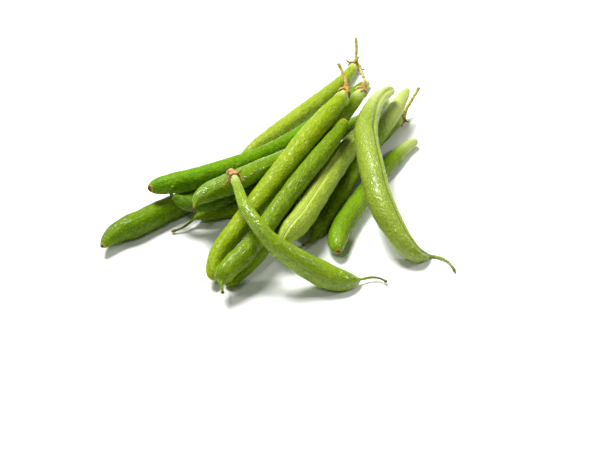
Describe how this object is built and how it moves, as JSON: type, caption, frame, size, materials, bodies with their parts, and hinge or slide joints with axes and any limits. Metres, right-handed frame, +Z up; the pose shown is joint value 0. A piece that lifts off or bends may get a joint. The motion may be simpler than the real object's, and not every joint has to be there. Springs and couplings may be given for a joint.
{
  "type": "green bean bundle",
  "caption": "Loose heap of fresh green beans lying across each other, slightly curved pods with seams and dried tips, some still with a short stalk.",
  "frame": {"origin": "centre of the bounding box on the surface the heap lies on", "axes": "+Z up out of the surface; +X to the right and +Y away, as the heap is seen from its front, with most stalk ends pointing away"},
  "size_m": [0.1554, 0.1924, 0.0412],
  "materials": {
    "pod_01": "fresh pod skin, satin with a fine speckled gloss",
    "pod_02": "fresh pod skin, satin with a fine speckled gloss",
    "pod_03": "fresh pod skin, satin with a fine speckled gloss",
    "pod_04": "fresh pod skin, satin with a fine speckled gloss",
    "pod_05": "fresh pod skin, satin with a fine speckled gloss",
    "pod_06": "fresh pod skin, satin with a fine speckled gloss",
    "pod_07": "fresh pod skin, satin with a fine speckled gloss",
    "pod_08": "fresh pod skin, satin with a fine speckled gloss",
    "pod_09": "fresh pod skin, satin with a fine speckled gloss",
    "pod_10": "fresh pod skin, satin with a fine speckled gloss",
    "pod_11": "fresh pod skin, satin with a fine speckled gloss",
    "pod_12": "fresh pod skin, satin with a fine speckled gloss",
    "pod_13": "fresh pod skin, satin with a fine speckled gloss",
    "pod_14": "fresh pod skin, satin with a fine speckled gloss",
    "stalk": "dry fibrous calyx and stem, matte"
  },
  "bodies": {
    "root": {"pod_01": "pod_01", "pod_02": "pod_02", "pod_03": "pod_03", "pod_04": "pod_04", "pod_05": "pod_05", "pod_06": "pod_06", "pod_07": "pod_07", "pod_08": "pod_08", "pod_09": "pod_09", "pod_10": "pod_10", "pod_11": "pod_11", "pod_12": "pod_12", "pod_13": "pod_13", "pod_14": "pod_14", "stalk_01": "stalk", "stalk_04": "stalk", "stalk_09": "stalk", "stalk_12": "stalk", "stalk_14": "stalk"}
  },
  "joints": []
}
